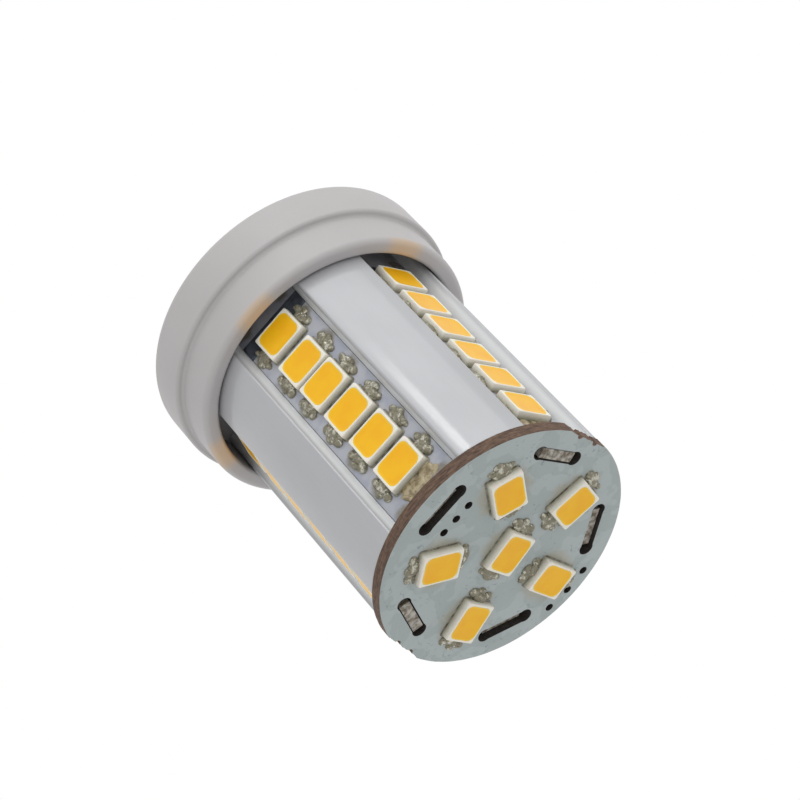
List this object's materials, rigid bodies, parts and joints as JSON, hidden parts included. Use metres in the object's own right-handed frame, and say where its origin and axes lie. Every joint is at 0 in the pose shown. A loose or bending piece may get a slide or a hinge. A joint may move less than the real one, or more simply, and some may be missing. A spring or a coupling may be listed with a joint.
{
  "type": "capsule bulb",
  "caption": "Plug-in capsule bulb: surface-mounted diodes in rows round a finned core and on a round end board, in a white base with two wire contact loops.",
  "frame": {"origin": "centre of the plug's end face, midway between the two contact loops", "axes": "+Z along the bulb's axis from the plug to the end board, -Y towards row 1 of the diodes, X across the contact loops"},
  "size_m": [0.025, 0.025, 0.0409],
  "materials": {
    "core_aluminium": "satin",
    "housing_plastic": "satin",
    "contact_wire": "satin",
    "driver_laminate": "satin",
    "package_black": "matte",
    "film_yellow": "gloss",
    "ferrite": "matte",
    "can_aluminium": "satin",
    "resistor_body": "matte",
    "lead_black": "satin",
    "lead_red": "satin",
    "end_board_mask": "satin",
    "row_board_mask": "satin",
    "diode_white": "satin",
    "phosphor_amber": "satin",
    "solder": "rough"
  },
  "bodies": {
    "root": {"heat_sink_core": "core_aluminium", "base_housing": "housing_plastic", "contact_loop_1": "contact_wire", "contact_loop_2": "contact_wire", "driver_board": "driver_laminate", "bridge_rectifier": "package_black", "driver_chip": "package_black", "film_capacitor": "film_yellow", "choke": "ferrite", "smoothing_capacitor": "can_aluminium", "fuse_resistor": "resistor_body", "mains_lead_1": "lead_black", "mains_lead_2": "lead_black", "supply_lead_1": "lead_black", "supply_lead_2": "lead_red", "end_board": "end_board_mask", "end_diodes": "diode_white", "end_phosphors": "phosphor_amber", "end_solder": "solder", "row_board_1": "row_board_mask", "row_diodes_1": "diode_white", "row_phosphors_1": "phosphor_amber", "row_solder_1": "solder", "row_board_2": "row_board_mask", "row_diodes_2": "diode_white", "row_phosphors_2": "phosphor_amber", "row_solder_2": "solder", "row_board_3": "row_board_mask", "row_diodes_3": "diode_white", "row_phosphors_3": "phosphor_amber", "row_solder_3": "solder", "row_board_4": "row_board_mask", "row_diodes_4": "diode_white", "row_phosphors_4": "phosphor_amber", "row_solder_4": "solder", "row_board_5": "row_board_mask", "row_diodes_5": "diode_white", "row_phosphors_5": "phosphor_amber", "row_solder_5": "solder"}
  },
  "joints": []
}
